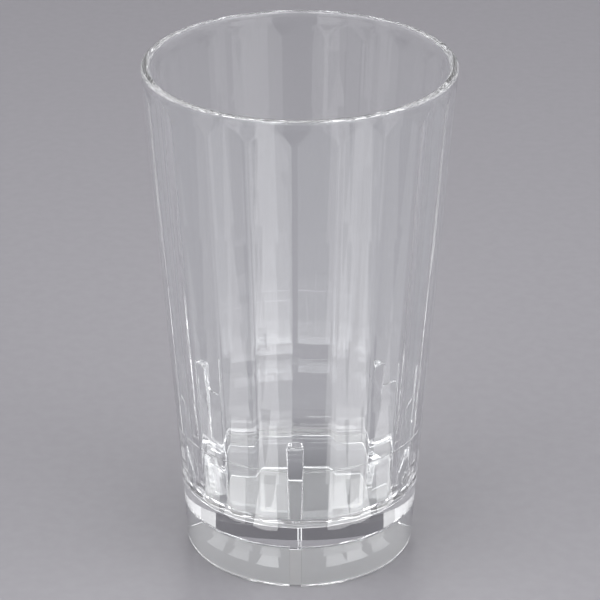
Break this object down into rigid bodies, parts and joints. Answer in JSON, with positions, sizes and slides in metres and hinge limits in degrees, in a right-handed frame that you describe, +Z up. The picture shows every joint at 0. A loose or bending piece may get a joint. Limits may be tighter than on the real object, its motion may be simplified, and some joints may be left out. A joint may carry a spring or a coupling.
{
  "type": "plastic tumbler cup",
  "caption": "Clear stackable plastic tumbler with a round tapered outside, flat facets down the inside, three stacking ribs, a thick floor and a hollow foot with drain notches.",
  "frame": {"origin": "centre of the foot ring, on the surface the tumbler stands on", "axes": "+Z up along the tumbler's own axis, -Y towards the side with the first stacking rib and the drain notch under it"},
  "size_m": [0.086, 0.0858, 0.1456],
  "materials": {
    "clear_plastic": "clear, polished, colourless styrene plastic"
  },
  "bodies": {
    "root": {"tumbler": "clear_plastic"}
  },
  "joints": []
}
